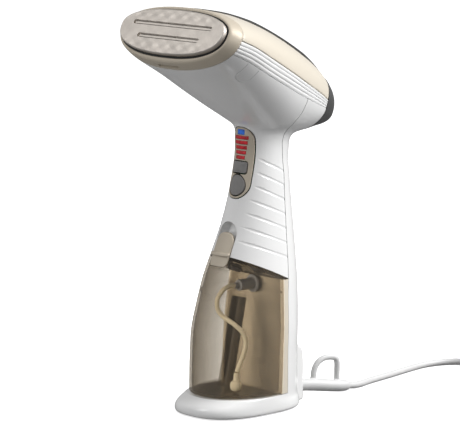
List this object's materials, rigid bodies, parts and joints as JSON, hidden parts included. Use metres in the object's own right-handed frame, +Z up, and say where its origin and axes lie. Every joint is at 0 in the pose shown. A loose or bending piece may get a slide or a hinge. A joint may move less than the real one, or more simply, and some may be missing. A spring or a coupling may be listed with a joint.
{
  "type": "garment steamer",
  "caption": "Upright handheld garment steamer with a wide slanted steam head, slim handle, smoked lift-off water tank and broad foot.",
  "frame": {"origin": "on the ground, under the middle of the steamer's bounding box measured without its cord", "axes": "+Z up; +Y to the rear, where the cord leaves; the steam plate faces -Y; +X to the steamer's left as seen from behind it, so to the right for someone facing the steam plate"},
  "size_m": [0.135, 0.4216, 0.3249],
  "materials": {
    "white_plastic": "polished moulded plastic",
    "cream_plastic": "satin moulded plastic",
    "champagne_plastic": "satin metallic-flake plastic",
    "plate_metal": "fine blasted and coated, faint lattice pattern",
    "dark_grey_plastic": "fine moulded texture",
    "grey_plastic": "satin moulded plastic",
    "black_plastic": "moulded plastic",
    "black_rubber": "matt rubber",
    "cast_aluminium": "as cast",
    "steel": "bright zinc-plated",
    "brass": "bright",
    "smoke_clear": "clear smoked plastic, polished",
    "clear_hose": "translucent silicone tube",
    "blue_lens": "tinted lens",
    "red_lens": "tinted lens",
    "board_green": "printed circuit board",
    "cord_white": "satin flexible plastic"
  },
  "bodies": {
    "housing": {"base_cover": "white_plastic", "base_screw_left": "steel", "base_screw_right": "steel", "control_board": "board_green", "cord_coil": "cord_white", "cord_tie": "black_rubber", "cord_tube": "cord_white", "display_panel": "champagne_plastic", "dock_nipple": "grey_plastic", "dock_plate": "white_plastic", "dock_seal": "black_rubber", "front_shell": "white_plastic", "handle_screw_high": "steel", "handle_screw_low": "steel", "heating_block": "cast_aluminium", "heating_element": "steel", "heel_bumper": "dark_grey_plastic", "inlet_hose": "clear_hose", "level_bar_1": "red_lens", "level_bar_2": "red_lens", "level_bar_3": "red_lens", "level_bar_4": "red_lens", "level_bar_5": "red_lens", "mode_tact_switch": "black_plastic", "nozzle_bezel": "champagne_plastic", "plate_gasket": "black_rubber", "plug_blade_left": "brass", "plug_blade_right": "brass", "plug_body": "cord_white", "pump": "brass", "ready_lamp": "blue_lens", "rear_shell": "white_plastic", "rib_trim_left": "white_plastic", "rib_trim_right": "white_plastic", "ridge_strip": "dark_grey_plastic", "rubber_foot_1": "black_rubber", "rubber_foot_2": "black_rubber", "rubber_foot_3": "black_rubber", "rubber_foot_4": "black_rubber", "spine_cover": "cream_plastic", "steam_hose": "clear_hose", "steam_plate": "plate_metal", "steam_tact_switch": "black_plastic", "strain_relief": "cord_white", "switch_ring": "grey_plastic", "thermal_fuse": "cream_plastic", "thermostat": "steel", "top_cover": "cream_plastic"},
    "tank": {"water_tank": "smoke_clear", "tank_valve": "grey_plastic", "pickup_hose": "clear_hose", "hose_weight": "steel", "pickup_guide": "smoke_clear"},
    "latch": {"tank_latch": "champagne_plastic", "latch_spring": "steel"},
    "cap": {"fill_cap": "grey_plastic", "fill_seal": "black_rubber"},
    "mode_button": {"mode_button": "grey_plastic"},
    "steam_button": {"steam_button": "grey_plastic"},
    "switch": {"power_switch": "dark_grey_plastic"}
  },
  "joints": [
    {"name": "tank_pull", "type": "slide", "parent": "housing", "child": "tank", "axis": [0, -1, 0], "range_m": [0, 0.045]},
    {"name": "latch_slide", "type": "slide", "parent": "tank", "child": "latch", "axis": [0, 0.375, 0.927], "range_m": [0, 0.0065], "stiffness_N_per_m": 300, "springref_m": -0.004, "deforming": ["latch_spring"]},
    {"name": "cap_turn", "type": "hinge", "parent": "tank", "child": "cap", "pos_m": [-0.0135, -0.00728, 0.11347], "axis": [0, 0.4027, 0.9153], "range_deg": [0, 60]},
    {"name": "mode_press", "type": "slide", "parent": "housing", "child": "mode_button", "axis": [0, 0.9855, -0.1698], "range_m": [0, 0.0008], "stiffness_N_per_m": 1500, "springref_m": -0.0004},
    {"name": "steam_press", "type": "slide", "parent": "housing", "child": "steam_button", "axis": [0, 0.9767, -0.2148], "range_m": [0, 0.0008], "stiffness_N_per_m": 1500, "springref_m": -0.0004},
    {"name": "switch_rock", "type": "hinge", "parent": "housing", "child": "switch", "pos_m": [0, 0.04212, 0.0369], "axis": [-1, 0, 0], "range_deg": [0, 14]}
  ]
}
